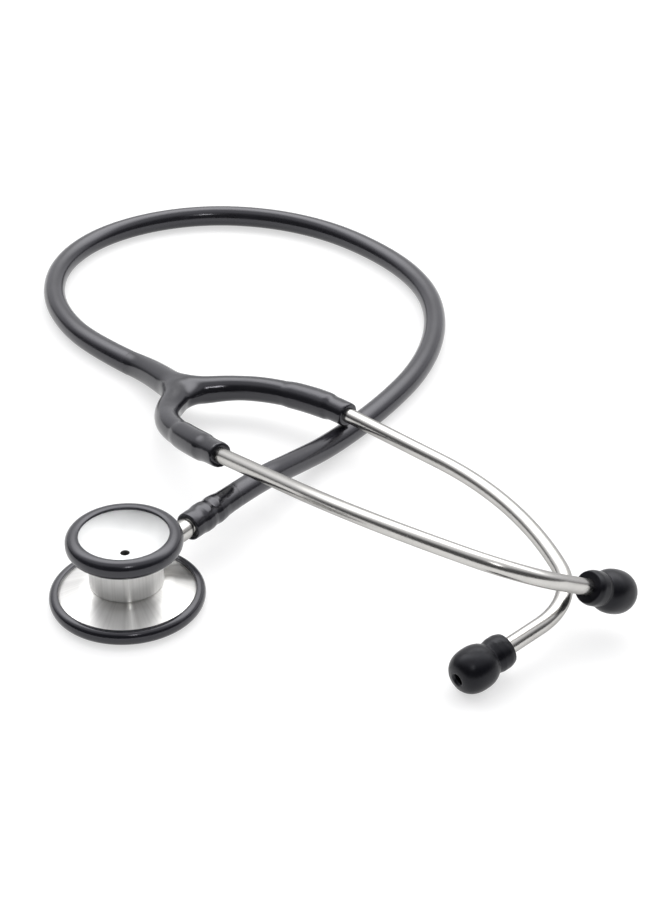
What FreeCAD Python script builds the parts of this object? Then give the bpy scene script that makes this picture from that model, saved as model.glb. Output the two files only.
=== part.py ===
import FreeCAD, Part
import math
import os

from FreeCAD import Placement, Rotation, Vector

# Dual-head stethoscope lying on a table.
# Millimetres, +Z up. The origin is the centre of the diaphragm's contact face, which rests at z = 0.
# +X runs along the valve stem, from the chestpiece towards the tubing.

os.makedirs("parts", exist_ok=True)

# ---- Chestpiece ----
diaphragm_radius = 20.0
diaphragm_thickness = 0.4
diaphragm_step = 0.6
diaphragm_flange = 1.2
rim_lip_gap = 0.25
rim_lip_clearance = 0.15
dish_edge_wall = 2.0
dish_edge_height = 2.5
dish_rise = 3.8
sound_cavity_depth = 2.2
diaphragm_rim_wall = 1.4
diaphragm_rim_height = 5.2
diaphragm_rim_cover = 1.4

hub_radius = 11.2
hub_edge_round = 1.5
stem_height = 12.0
bell_flare_start = 17.4
bell_lip_radius = 16.4
bell_lip_bottom = 21.4
bell_lip_top = 24.0
bell_mouth_radius = 13.6
bell_depth = 6.4
bell_rim_wall = 1.0
bell_rim_top = 0.9
bell_rim_skirt = 1.8
sound_bore_radius = 1.4

# ---- Valve stem, its seal and its detent ----
stem_radius = 3.2
stem_fit = 0.05
stem_bore_radius = 1.5
stem_inner_end = 5.0
stem_end_wall = 2.6
stem_end_clearance = 0.3
cuff_start = 27.5
barb_length = 17.0
barb_core_radius = 2.5
barb_radius = 3.05
barb_count = 3
detent_x = 6.2
ball_radius = 1.2
ball_groove_depth = 0.55
ball_fit = 0.05
dimple_depth = 0.25
detent_spring_wire = 0.3
detent_spring_turns = 4
detent_spring_length = 2.2
detent_screw_radius = 1.6
detent_screw_length = 2.0
detent_screw_slot = 0.5
seal_x = 9.2
seal_section_radius = 0.4
seal_fit = 0.02

# ---- Tubing ----
hose_radius = 4.0
hose_lumen_radius = 2.1
cuff_radius = 4.7
cuff_mouth_radius = 4.35
cuff_length = 21.0
yoke_arm_radius = 4.3
limb_root_radius = 3.6
limb_root_length = 14.0
limb_root_offset = 0.7
yoke_root_radius = 5.0
yoke_root_length = 15.0
yoke_mouth_radius = 4.2
yoke_mouth_length = 9.0
yoke_bulge_radius = 4.65
yoke_bulge_length = 16.0
trunk_middle_radius = 4.5
trunk_end_radius = 5.5
crotch_radius = 8.0
crotch_clearance = 0.3
circle_spacing = 2.5
trunk_neck = 0.05
table_height = hose_radius

# ---- Headset ----
ear_tube_radius = 2.5
ear_tube_bore_radius = 1.8
ear_tube_insertion = 15.0
ear_tube_straight = 41.4
ear_tube_sweep_radius = 131.3
ear_tube_sweep_angle = 29.1
ear_tube_bend_radius = 24.5
ear_tube_bend_angle = 66.6
ear_tube_end = 13.0
leaf_thickness = 0.6
leaf_width = 2.6
leaf_wall = 0.2
clip_wall = 0.7
clip_length = 7.0

# ---- Ear tips ----
tip_bulb_radius = 6.6
tip_collar_radius = 5.3
tip_waist_radius = 4.8
tip_collar_length = 5.0
tip_length = 18.5
tip_mouth_radius = 3.6
tip_bore_radius = 1.5
tip_bulb_middle = 11.6
tip_rest_height = 6.63
tip_insertion = 11.0

# ---- Where the yoke, its arms and the ear tubes lie ----
crotch = Vector(90.7, 58.5, 9.5)
hose_far_end = Vector(101.5, 92, table_height)
trunk_lead = 5.0
trunk_bend = Vector(98.0, 77, 6)
left_socket = Vector(109.4, 0.7, 12.95)
left_heading = -97.7
left_rise = 0.9
left_elbow = Vector(107.2, 42.5, 10.4)
left_socket_run = 14.0
right_socket = Vector(54.6, 9.5, 20.9)
right_heading = -105.6
right_rise = 11.9
right_roll = -29.4
right_elbow = Vector(71.0, 50.0, 11.6)
right_socket_run = 20.0

# The free hose, from the cuff's end round its loop to the yoke. Points are the corners that it rounds.
hose_route = [
    (cuff_start + cuff_length, 0, stem_height),
    (62, 0, stem_height),
    (80, 1.2, 8.2),
    (103, 2.7, table_height),
    (134, 4, table_height),
    (162, 9, table_height),
    (188, 20.5, table_height),
    (209, 37.5, table_height),
    (222, 58, table_height),
    (229, 82, table_height),
    (231, 106, table_height),
    (226, 130, table_height),
    (213, 152, table_height),
    (192, 167.5, table_height),
    (167, 173.5, table_height),
    (142, 168, table_height),
    (121, 151.5, table_height),
    (108, 129, table_height),
    (103, 108, table_height),
    (hose_far_end.x, hose_far_end.y, hose_far_end.z),
]


def outline(points, closed=True):
    """Wire in the XZ plane through (radius, height) or (radius, height, rounding) corners."""
    corners = [Vector(p[0], 0, p[1]) for p in points]
    rounds = [p[2] if len(p) > 2 else 0 for p in points]
    edges = []
    last = None
    first = None
    count = len(corners)
    for i in range(count):
        corner = corners[i]
        if rounds[i]:
            back = (corners[i - 1] - corner).normalize()
            ahead = (corners[(i + 1) % count] - corner).normalize()
            half = back.getAngle(ahead) / 2
            reach = rounds[i] / math.tan(half)
            start = corner + back * reach
            end = corner + ahead * reach
            middle = (back + ahead).normalize() * (rounds[i] / math.sin(half) - rounds[i])
            arc = Part.Arc(start, corner + middle, end).toShape()
        else:
            start = end = corner
            arc = None
        if last is not None:
            edges.append(Part.LineSegment(last, start).toShape())
        if arc:
            edges.append(arc)
        if first is None:
            first = start
        last = end
    if closed:
        edges.append(Part.LineSegment(last, first).toShape())
    return Part.Wire(edges)


def turned(points):
    """Solid of revolution about Z."""
    return Part.Face(outline(points)).revolve(Vector(), Vector(0, 0, 1), 360)


def turned_about_x(points, centre_height):
    """Solid of revolution about the stem's axis. Each point is (distance from the axis, x)."""
    shape = turned(points)
    shape.rotate(Vector(), Vector(0, 1, 0), 90)
    shape.translate(Vector(0, 0, centre_height))
    return shape


def rod(radius, start, end):
    axis = end - start
    return Part.makeCylinder(radius, axis.Length, start, axis)


def rounded_route(points, name=None):
    """Straight runs joined by the largest tangent arcs that their lengths allow."""
    points = [Vector(*p) for p in points]
    edges = []
    radii = []
    last = points[0]
    for before, corner, after in zip(points, points[1:], points[2:]):
        back = (before - corner)
        ahead = (after - corner)
        reach = 0.45 * min(back.Length, ahead.Length)
        back.normalize()
        ahead.normalize()
        half = back.getAngle(ahead) / 2
        radius = reach * math.tan(half)
        start = corner + back * reach
        end = corner + ahead * reach
        bisector = (back + ahead).normalize()
        middle = corner + bisector * (radius / math.sin(half) - radius)
        edges.append(Part.LineSegment(last, start).toShape())
        edges.append(Part.Arc(start, middle, end).toShape())
        radii.append(round(radius))
        last = end
    edges.append(Part.LineSegment(last, points[-1]).toShape())
    wire = Part.Wire(edges)
    if name:
        print(name, "length", round(wire.Length, 1), "radii", radii)
    return wire


def swept_round(wire, radius):
    start = wire.Edges[0]
    tangent = start.tangentAt(start.FirstParameter)
    circle = Part.Wire(Part.Circle(start.valueAt(start.FirstParameter), tangent, radius).toShape())
    return wire.makePipeShell([circle], True, False)


def swelling(wire, stations):
    """Solid lofted through circles across a route, given as (distance along it, radius)."""
    spots = [stations[0]]
    for distance, radius in stations[1:]:
        last, last_radius = spots[-1]
        steps = math.ceil((distance - last) / circle_spacing)
        for i in range(1, steps + 1):
            spots.append((last + (distance - last) * i / steps,
                          last_radius + (radius - last_radius) * i / steps))
    circles = []
    for distance, radius in spots:
        left = distance
        for edge in wire.OrderedEdges:
            if left <= edge.Length or edge.isSame(wire.OrderedEdges[-1]):
                break
            left -= edge.Length
        spot = edge.getParameterByLength(min(left, edge.Length))
        circle = Part.Circle(edge.valueAt(spot), edge.tangentAt(spot), radius)
        circles.append(Part.Wire(circle.toShape()))
    return Part.makeLoft(circles, True, False)


def save(name, shape):
    shape = shape.removeSplitter()
    solids = shape.Solids
    shape = solids[0] if len(solids) == 1 else Part.Compound(solids)
    shape.exportStep("parts/" + name + ".step")
    print(name, "solids", len(solids), "volume", round(shape.Volume, 1), "valid", shape.isValid())


# ---- Chestpiece ----
flange_bottom = diaphragm_step
flange_top = flange_bottom + diaphragm_thickness
dish_edge_top = flange_top + dish_edge_height
flange_radius = diaphragm_radius + diaphragm_flange
dish_edge_radius = diaphragm_radius + dish_edge_wall
dish_top = dish_edge_top + dish_rise
rim_inner_radius = dish_edge_radius - diaphragm_rim_cover
rim_outer_radius = dish_edge_radius + diaphragm_rim_wall
bell_floor = bell_lip_top - bell_depth
bell_sphere_radius = (bell_mouth_radius ** 2 + bell_depth ** 2) / (2 * bell_depth)
cavity_radius = diaphragm_radius - 0.4
flare_slope = (bell_lip_bottom - bell_flare_start) / (bell_lip_radius - hub_radius)
stem_bore = stem_radius + stem_fit
stem_start = Vector(-stem_inner_end, 0, stem_height)
ball_y = stem_radius + ball_radius - ball_groove_depth
spring_start = ball_y + ball_radius
spring_end = spring_start + detent_spring_length
screw_end = spring_end + detent_screw_length


def chestpiece_body():
    """One turned piece: shallow dish, hub and bell cup, with the sound bore and the stem's bore."""
    body = turned([
        (0, flange_top),
        (dish_edge_radius, flange_top, 0.3),
        (dish_edge_radius, dish_edge_top, 0.5),
        (rim_inner_radius, dish_edge_top + 0.35, 0.6),
        (hub_radius + 2.0, dish_top - 0.5, 12),
        (hub_radius - hub_edge_round, dish_top),
        (hub_radius, dish_top + hub_edge_round, 1.2),
        (hub_radius, bell_flare_start, 2.5),
        (bell_lip_radius, bell_lip_bottom, 0.4),
        (bell_lip_radius, bell_lip_top, 0.4),
        (0, bell_lip_top),
    ])
    bowl = Part.makeSphere(bell_sphere_radius, Vector(0, 0, bell_floor + bell_sphere_radius))
    cavity = Part.makeCone(cavity_radius, sound_bore_radius, sound_cavity_depth,
                           Vector(0, 0, flange_top))
    bore = rod(sound_bore_radius, Vector(0, 0, flange_top), Vector(0, 0, bell_lip_top))
    socket = rod(stem_bore, stem_start - Vector(stem_end_clearance, 0, 0),
                 Vector(hub_radius + 1, 0, stem_height))
    ball_hole = rod(ball_radius + ball_fit, Vector(detent_x, 0, stem_height),
                    Vector(detent_x, spring_end, stem_height))
    screw_hole = rod(detent_screw_radius, Vector(detent_x, spring_end, stem_height),
                     Vector(detent_x, hub_radius, stem_height))
    return body.cut(bowl).cut([cavity, bore, socket]).cut([ball_hole, screw_hole])


def bell_rim():
    """Soft ring that grips the bell's lip, so that the steel doesn't touch the skin."""
    outer = bell_lip_radius + bell_rim_wall
    inner = bell_mouth_radius - 0.2
    skirt_radius = bell_lip_radius - 1.4
    skirt = bell_lip_bottom - flare_slope * (bell_lip_radius - skirt_radius)
    return turned([
        (inner, bell_lip_top),
        (inner, bell_lip_top + 0.7, 0.5),
        (inner + 1.1, bell_lip_top + bell_rim_top, 0.9),
        (outer, bell_lip_top + bell_rim_top - 0.3, 1.9),
        (outer, bell_lip_bottom - bell_rim_skirt, 1.7),
        (skirt_radius, skirt - 1.0, 0.5),
        (skirt_radius, skirt),
        (bell_lip_radius, bell_lip_bottom),
        (bell_lip_radius, bell_lip_top),
    ])


def diaphragm():
    """Stiff membrane: a flat contact face with a stepped edge that the rim clamps to the dish."""
    return turned([
        (0, 0),
        (diaphragm_radius, 0, 0.15),
        (diaphragm_radius, flange_bottom),
        (flange_radius, flange_bottom),
        (flange_radius, flange_top),
        (diaphragm_radius - diaphragm_thickness, flange_top),
        (diaphragm_radius - diaphragm_thickness, diaphragm_thickness),
        (0, diaphragm_thickness),
    ])


def diaphragm_rim():
    """Soft snap ring: its lower lip holds the diaphragm, its upper lip grips the dish's edge."""
    lip_radius = diaphragm_radius + rim_lip_gap
    return turned([
        (lip_radius, rim_lip_clearance, 0.15),
        (rim_outer_radius, rim_lip_clearance, 2.4),
        (rim_outer_radius, diaphragm_rim_height, 2.0),
        (rim_inner_radius, diaphragm_rim_height - 0.5, 0.4),
        (rim_inner_radius, dish_edge_top + 0.35),
        (dish_edge_radius, dish_edge_top),
        (dish_edge_radius, flange_top),
        (flange_radius, flange_top),
        (flange_radius, flange_bottom),
        (lip_radius, flange_bottom),
    ])


# ---- Valve stem ----
stem_end = cuff_start + barb_length


def valve_stem():
    """Hollow steel stem: a side port inside the hub, a ball track, a seal groove and a barbed tail."""
    barb_pitch = barb_length / barb_count
    points = [(0, -stem_inner_end), (stem_radius, -stem_inner_end, 0.4), (stem_radius, cuff_start)]
    for i in range(barb_count):
        foot = cuff_start + i * barb_pitch
        points += [(barb_core_radius, foot), (barb_radius, foot + 0.6), (barb_radius, foot + 1.2)]
    points += [(barb_core_radius, stem_end), (0, stem_end)]
    stem = turned_about_x(points, stem_height)
    lumen = rod(stem_bore_radius, Vector(stem_end_wall - stem_inner_end, 0, stem_height),
                Vector(stem_end, 0, stem_height))
    port = rod(sound_bore_radius, Vector(0, 0, stem_height),
               Vector(0, 0, stem_height + stem_radius + 1))
    track = Part.makeTorus(ball_y, ball_radius + ball_fit, Vector(detent_x, 0, stem_height),
                           Vector(1, 0, 0))
    dimples = [Part.makeSphere(ball_radius + ball_fit,
                               Vector(detent_x, side * (ball_y - dimple_depth), stem_height))
               for side in (-1, 1)]
    seal_seat = stem_radius - 2 * seal_section_radius
    groove = turned_about_x([
        (seal_seat, seal_x - seal_section_radius - 0.1),
        (stem_radius + 1, seal_x - seal_section_radius - 0.1),
        (stem_radius + 1, seal_x + seal_section_radius + 0.1),
        (seal_seat, seal_x + seal_section_radius + 0.1),
    ], stem_height)
    return stem.cut([lumen, port]).cut([track, groove]).cut(dimples)


def stem_seal():
    centre = stem_bore - seal_fit - seal_section_radius
    return Part.makeTorus(centre, seal_section_radius, Vector(seal_x, 0, stem_height), Vector(1, 0, 0))


def detent_ball():
    return Part.makeSphere(ball_radius, Vector(detent_x, ball_y, stem_height))


def detent_spring():
    """Compression spring of square wire between the ball and the screw."""
    half = detent_spring_wire / 2
    coil_radius = ball_radius - half - 0.1
    rise = detent_spring_length - detent_spring_wire
    helix = Part.makeHelix(rise / detent_spring_turns, rise, coil_radius)
    corners = [Vector(coil_radius - half, 0, -half), Vector(coil_radius + half, 0, -half),
               Vector(coil_radius + half, 0, half), Vector(coil_radius - half, 0, half)]
    wire = Part.makePolygon(corners + corners[:1])
    coil = Part.Wire(helix).makePipeShell([wire], True, True)
    coil.Placement = Placement(Vector(detent_x, spring_start + half, stem_height),
                               Rotation(Vector(0, 0, 1), Vector(0, 1, 0)))
    return coil


def detent_screw():
    """Slotted grub screw that closes the ball's hole from the hub's side."""
    screw = rod(detent_screw_radius, Vector(detent_x, spring_end, stem_height),
                Vector(detent_x, screw_end, stem_height))
    slot = Part.makeBox(2 * detent_screw_radius, 0.8, detent_screw_slot,
                        Vector(detent_x - detent_screw_radius, screw_end - 0.8,
                               stem_height - detent_screw_slot / 2))
    return screw.cut(slot)


# ---- Tubing ----
cuff_end = cuff_start + cuff_length


def stem_cuff(stem):
    """End of the hose, stretched over the stem's barbs."""
    cuff = turned_about_x([
        (0, cuff_start),
        (cuff_mouth_radius, cuff_start, 0.7),
        (cuff_radius, cuff_start + 5, 4),
        (cuff_radius, stem_end - 3, 6),
        (hose_radius, cuff_end),
        (0, cuff_end),
    ], stem_height)
    lumen = rod(hose_lumen_radius, Vector(stem_end, 0, stem_height), Vector(cuff_end, 0, stem_height))
    mouth = rod(barb_core_radius, Vector(cuff_start - 1, 0, stem_height),
                Vector(stem_end, 0, stem_height))
    return cuff.cut(mouth).cut(stem).cut(lumen)


def sound_tube():
    wire = rounded_route(hose_route, "sound tube")
    tube = swept_round(wire, hose_radius).cut(swept_round(wire, hose_lumen_radius))
    section = math.pi * (hose_radius ** 2 - hose_lumen_radius ** 2)
    print("sound tube volume over section times length",
          round(tube.Volume / (section * wire.Length), 4))
    return tube


# ---- Ear tubes: one bent profile, placed twice, the right one mirrored ----
def ear_tube_points(turn):
    """Start, joints and middles of the bends in the tube's own plane, bending to one side of +X."""
    sweep = math.radians(ear_tube_sweep_angle)
    full = sweep + math.radians(ear_tube_bend_angle)

    def bend(origin, radius, start, end):
        return origin + Vector(radius * (math.sin(end) - math.sin(start)),
                               turn * radius * (math.cos(start) - math.cos(end)), 0)

    socket_end = Vector(0, 0, 0)
    a = Vector(ear_tube_straight, 0, 0)
    a_mid = bend(a, ear_tube_sweep_radius, 0, sweep / 2)
    b = bend(a, ear_tube_sweep_radius, 0, sweep)
    b_mid = bend(b, ear_tube_bend_radius, sweep, (sweep + full) / 2)
    c = bend(b, ear_tube_bend_radius, sweep, full)
    ahead = Vector(math.cos(full), turn * math.sin(full), 0)
    return socket_end, a, a_mid, b, b_mid, c, ahead


def turn_of(side):
    return 1 if side == "right" else -1


def ear_frame(side):
    """Placement of an ear tube's own plane. The left one rolls until its tip rests on the table."""
    if side == "right":
        return Placement(right_socket, Rotation(right_heading, -right_rise, right_roll))
    _, _, _, _, _, c, ahead = ear_tube_points(turn_of(side))
    bulb = c + ahead * (ear_tube_end + tip_bulb_middle)
    rise = math.radians(left_rise)
    drop = left_socket.z + bulb.x * math.sin(rise) - tip_rest_height
    left_roll = math.degrees(math.asin(drop / (-bulb.y * math.cos(rise))))
    return Placement(left_socket, Rotation(left_heading, -left_rise, left_roll))


def ear_tube(side):
    _, a, a_mid, b, b_mid, c, ahead = ear_tube_points(turn_of(side))
    end = c + ahead * (ear_tube_end + tip_insertion)
    start = Vector(-ear_tube_insertion, 0, 0)
    wire = Part.Wire([
        Part.LineSegment(start, a).toShape(),
        Part.Arc(a, a_mid, b).toShape(),
        Part.Arc(b, b_mid, c).toShape(),
        Part.LineSegment(c, end).toShape(),
    ])
    tube = swept_round(wire, ear_tube_radius).cut(swept_round(wire, ear_tube_bore_radius))
    tube.Placement = ear_frame(side)
    return tube


def ear_tip(side):
    """Soft mushroom tip: a collar that grips the tube, a waist, and a bulb with the sound hole."""
    _, _, _, _, _, c, ahead = ear_tube_points(turn_of(side))
    tip = turned([
        (ear_tube_radius, 0),
        (tip_collar_radius, 0, 0.5),
        (tip_collar_radius, tip_collar_length, 0.6),
        (tip_waist_radius, tip_collar_length + 0.5),
        (tip_bulb_radius - 0.1, tip_bulb_middle - 4.4, 3.4),
        (tip_bulb_radius + 0.05, tip_bulb_middle, 14),
        (tip_bulb_radius - 0.4, tip_bulb_middle + 3.8, 4.5),
        (tip_mouth_radius, tip_length, 0.8),
        (tip_bore_radius, tip_length, 0.4),
        (tip_bore_radius, tip_insertion),
        (ear_tube_radius, tip_insertion),
    ])
    tip.Placement = Placement(c + ahead * ear_tube_end, Rotation(Vector(0, 0, 1), ahead))
    return tip.transformGeometry(ear_frame(side).toMatrix())


# ---- Yoke: one moulding, cut at its flexing crotch into a trunk and two arms ----
def run_of(side):
    return ear_frame(side).Rotation.multVec(Vector(1, 0, 0))


def limb_route(side):
    """From inside the trunk round the crotch and along one arm to the ear tube."""
    socket = left_socket if side == "left" else right_socket
    elbow = left_elbow if side == "left" else right_elbow
    back = left_socket_run if side == "left" else right_socket_run
    along = (trunk_bend - crotch).normalize()
    across = Vector(0, 0, 1).cross(along).normalize() * turn_of(side)
    root = crotch + along * limb_root_length + across * limb_root_offset
    return [root, crotch, elbow, socket - run_of(side) * back, socket]


def limb_solid(side):
    """Swollen at the crotch and over the ear tube's end, slimmer between and round its mouth."""
    wire = rounded_route(limb_route(side))
    bulge_end = wire.Length - yoke_mouth_length
    bulge_start = bulge_end - yoke_bulge_length
    return swelling(wire, [
        (0, limb_root_radius),
        (limb_root_length, yoke_root_radius),
        (limb_root_length + yoke_root_length, yoke_arm_radius),
        (bulge_start - 4, yoke_arm_radius),
        (bulge_start + 2, yoke_bulge_radius - 0.1),
        (bulge_end - 5, yoke_bulge_radius),
        (bulge_end, yoke_mouth_radius + 0.1),
        (wire.Length - 4, yoke_mouth_radius),
        (wire.Length, yoke_mouth_radius),
    ])


def limb_lumen(side):
    return swept_round(rounded_route(limb_route(side)), hose_lumen_radius)


def arm_beyond(side, radius):
    """The part of a limb that lies on the arm's side of a round post on the arm's hinge line."""
    axis = ear_frame(side).Rotation.multVec(Vector(0, 0, 1))
    post = rod(radius, crotch - axis * 15, crotch + axis * 15)
    pieces = limb_solid(side).cut(post).Solids
    return max(pieces, key=lambda piece: piece.CenterOfMass.distanceToPoint(trunk_bend))


def inner_side(side):
    """Horizontal direction from an arm's end towards the other arm."""
    run = run_of(side)
    across = Vector(0, 0, 1).cross(run).normalize()
    return across * -turn_of(side) * -1


def leaf_spring():
    """U-shaped leaf in the yoke's inner wall. It draws the ear tubes together."""
    offset = ear_tube_radius + leaf_wall + leaf_thickness / 2
    ends = {}
    knees = {}
    for side in ("left", "right"):
        socket = left_socket if side == "left" else right_socket
        back = left_socket_run if side == "left" else right_socket_run
        shift = inner_side(side) * offset
        ends[side] = socket - run_of(side) * (ear_tube_insertion - clip_length - 1.5) + shift
        knees[side] = socket - run_of(side) * back + shift
    inner_left = left_elbow + Vector(-2.4, -2.2, 0)
    inner_right = right_elbow + Vector(1.7, -2.9, 0)
    inner_crotch = crotch + Vector(-0.7, -2.2, 0)
    wire = rounded_route([ends["left"], knees["left"], inner_left, inner_crotch,
                          inner_right, knees["right"], ends["right"]])
    start = wire.Edges[0]
    tangent = start.tangentAt(start.FirstParameter).normalize()
    side_way = Vector(0, 0, 1).cross(tangent).normalize() * (leaf_thickness / 2)
    up_way = tangent.cross(side_way).normalize() * (leaf_width / 2)
    origin = ends["left"]
    corners = [origin + side_way + up_way, origin - side_way + up_way,
               origin - side_way - up_way, origin + side_way - up_way]
    shell = Part.BRepOffsetAPI.MakePipeShell(wire)
    shell.setBiNormalMode(Vector(0, 0, 1))
    shell.add(Part.makePolygon(corners + corners[:1]))
    shell.build()
    shell.makeSolid()
    return shell.shape()


def spring_clip(side, tube, leaf):
    """Steel band that clamps the leaf's end to the ear tube."""
    shift = (leaf_wall + leaf_thickness) / 2
    centre = ear_frame(side).multVec(Vector(1.5 - ear_tube_insertion, 0, 0))
    run = run_of(side)
    band = Part.makeCylinder(ear_tube_radius + clip_wall + shift, clip_length,
                             centre + inner_side(side) * shift, run)
    core = rod(ear_tube_radius, centre - run, centre + run * (clip_length + 1))
    return band.cut([tube, leaf]).cut(core)


def yoke_trunk():
    """Flared trunk moulded on the hose's end, and the crotch where both arms start."""
    lead = (hose_far_end - Vector(*hose_route[-2])).normalize() * trunk_lead
    wire = rounded_route([hose_far_end, hose_far_end + lead, trunk_bend, crotch])
    trunk = swelling(wire, [
        (0, hose_radius),
        (trunk_lead, hose_radius - trunk_neck),
        (wire.Length * 0.6, trunk_middle_radius),
        (wire.Length, trunk_end_radius),
    ])
    heart = Part.makeSphere(trunk_end_radius, crotch)
    stubs = [limb_solid(side).cut(arm_beyond(side, crotch_radius)) for side in ("left", "right")]
    lumens = [swept_round(wire, hose_lumen_radius), limb_lumen("left"), limb_lumen("right"),
              Part.makeSphere(hose_lumen_radius, crotch)]
    return trunk.fuse([heart] + stubs).cut(lumens)


def yoke_arm(side, tube, leaf, clip):
    arm = arm_beyond(side, crotch_radius + crotch_clearance)
    return arm.cut(limb_lumen(side)).cut([clip, tube]).cut(leaf)


stem = valve_stem()
save("chestpiece_body", chestpiece_body())
save("bell_rim", bell_rim())
save("diaphragm", diaphragm())
save("diaphragm_rim", diaphragm_rim())
save("valve_stem", stem)
save("stem_seal", stem_seal())
save("detent_ball", detent_ball())
save("detent_spring", detent_spring())
save("detent_screw", detent_screw())
save("stem_cuff", stem_cuff(stem))
save("sound_tube", sound_tube())
leaf = leaf_spring()
save("leaf_spring", leaf)
save("yoke_trunk", yoke_trunk().cut(leaf))
for side in ("left", "right"):
    tube = ear_tube(side)
    clip = spring_clip(side, tube, leaf)
    save(side + "_ear_tube", tube)
    save(side + "_spring_clip", clip)
    save(side + "_yoke_arm", yoke_arm(side, tube, leaf, clip))
    save(side + "_ear_tip", ear_tip(side))
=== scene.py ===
import math

import bmesh
import bpy
from mathutils import Matrix, Vector


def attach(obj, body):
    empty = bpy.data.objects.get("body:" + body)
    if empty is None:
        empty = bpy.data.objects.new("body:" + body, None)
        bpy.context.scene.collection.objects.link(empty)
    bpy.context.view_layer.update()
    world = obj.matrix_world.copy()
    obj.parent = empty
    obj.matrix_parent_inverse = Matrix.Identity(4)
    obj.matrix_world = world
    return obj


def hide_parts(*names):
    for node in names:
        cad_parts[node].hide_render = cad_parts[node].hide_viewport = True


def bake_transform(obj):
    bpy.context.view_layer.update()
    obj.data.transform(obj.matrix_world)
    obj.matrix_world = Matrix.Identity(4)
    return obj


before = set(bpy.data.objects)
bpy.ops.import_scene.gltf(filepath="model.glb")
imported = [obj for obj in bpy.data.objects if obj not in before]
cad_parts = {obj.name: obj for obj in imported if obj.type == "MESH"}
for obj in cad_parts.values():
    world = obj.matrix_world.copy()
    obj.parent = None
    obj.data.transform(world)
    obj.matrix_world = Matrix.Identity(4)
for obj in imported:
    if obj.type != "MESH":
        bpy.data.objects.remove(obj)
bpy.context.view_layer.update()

mm = 0.001
mergeReach = 0.000001
cutReach = 0.0000001
sharpAngle = {"turned": 35, "drilled": 30}
steps = {"wide": 200, "narrow": 96, "drill": 64, "skin": 10}
scene = bpy.context.scene
scene.view_settings.view_transform = "Standard"


# Camera
camera = {
    "position": (-0.3451, -0.3464, 0.3559),
    "aim": (0.1037, 0.0042, 0.0),
    "verticalAngle": 25.46,
}
lens = bpy.data.cameras.new("camera")
lens.sensor_fit = "VERTICAL"
lens.angle = math.radians(camera["verticalAngle"])
lens.clip_end = 20
viewer = bpy.data.objects.new("camera", lens)
viewer.location = camera["position"]
sightLine = Vector(camera["aim"]) - Vector(camera["position"])
viewer.rotation_euler = sightLine.to_track_quat("-Z", "Y").to_euler()
scene.collection.objects.link(viewer)
scene.camera = viewer
print("camera placed")


# The hose lies on the table in one big loop, from the stem's cuff round to the yoke
hose = {
    "diameter": 0.008,
    "length": 0.458,
    "exit": (0.0485, 0, 0.012),
    "route": [
        (0.0485, 0, 0.012), (0.062, 0, 0.012), (0.080, 0.0012, 0.0082), (0.103, 0.0027, 0.004),
        (0.134, 0.004, 0.004), (0.162, 0.009, 0.004), (0.188, 0.0205, 0.004), (0.209, 0.0375, 0.004),
        (0.222, 0.058, 0.004), (0.229, 0.082, 0.004), (0.231, 0.106, 0.004), (0.226, 0.130, 0.004),
        (0.213, 0.152, 0.004), (0.192, 0.1675, 0.004), (0.167, 0.1735, 0.004), (0.142, 0.168, 0.004),
        (0.121, 0.1515, 0.004), (0.108, 0.129, 0.004), (0.103, 0.108, 0.0042), (0.1015, 0.092, 0.0044),
    ],
    "swell": {18: 1.05, 19: 1.1},
}


def nurbsLine(name, points, radii=None):
    curve = bpy.data.curves.new(name, "CURVE")
    curve.dimensions = "3D"
    spline = curve.splines.new("NURBS")
    spline.points.add(len(points) - 1)
    for number, point in enumerate(points):
        spline.points[number].co = (*point, 1)
        if radii:
            spline.points[number].radius = radii[number]
    spline.order_u = 3
    spline.use_endpoint_u = True
    curve.resolution_u = 16
    return curve


hoseRadii = [hose["swell"].get(number, 1) for number in range(len(hose["route"]))]
hoseCurve = nurbsLine("soundTube", hose["route"], hoseRadii)
hoseCurve.bevel_depth = hose["diameter"] / 2
hoseCurve.bevel_resolution = steps["skin"]
hoseCurve.use_fill_caps = True
soundTube = bpy.data.objects.new("soundTube", hoseCurve)
scene.collection.objects.link(soundTube)
print("hose laid")


# Shader groups
def addNode(tree, kind, place, **settings):
    node = tree.nodes.new(kind)
    node.location = place
    for key, value in settings.items():
        setattr(node, key, value)
    return node


def newGroup(name, inputs, outputs):
    group = bpy.data.node_groups.new(name, "ShaderNodeTree")
    for label, kind, value in inputs:
        socket = group.interface.new_socket(label, in_out="INPUT", socket_type=kind)
        if value is not None:
            socket.default_value = value
    for label, kind in outputs:
        group.interface.new_socket(label, in_out="OUTPUT", socket_type=kind)
    given = addNode(group, "NodeGroupInput", (-900, 0))
    return group, given, addNode(group, "NodeGroupOutput", (500, 0))


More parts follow.
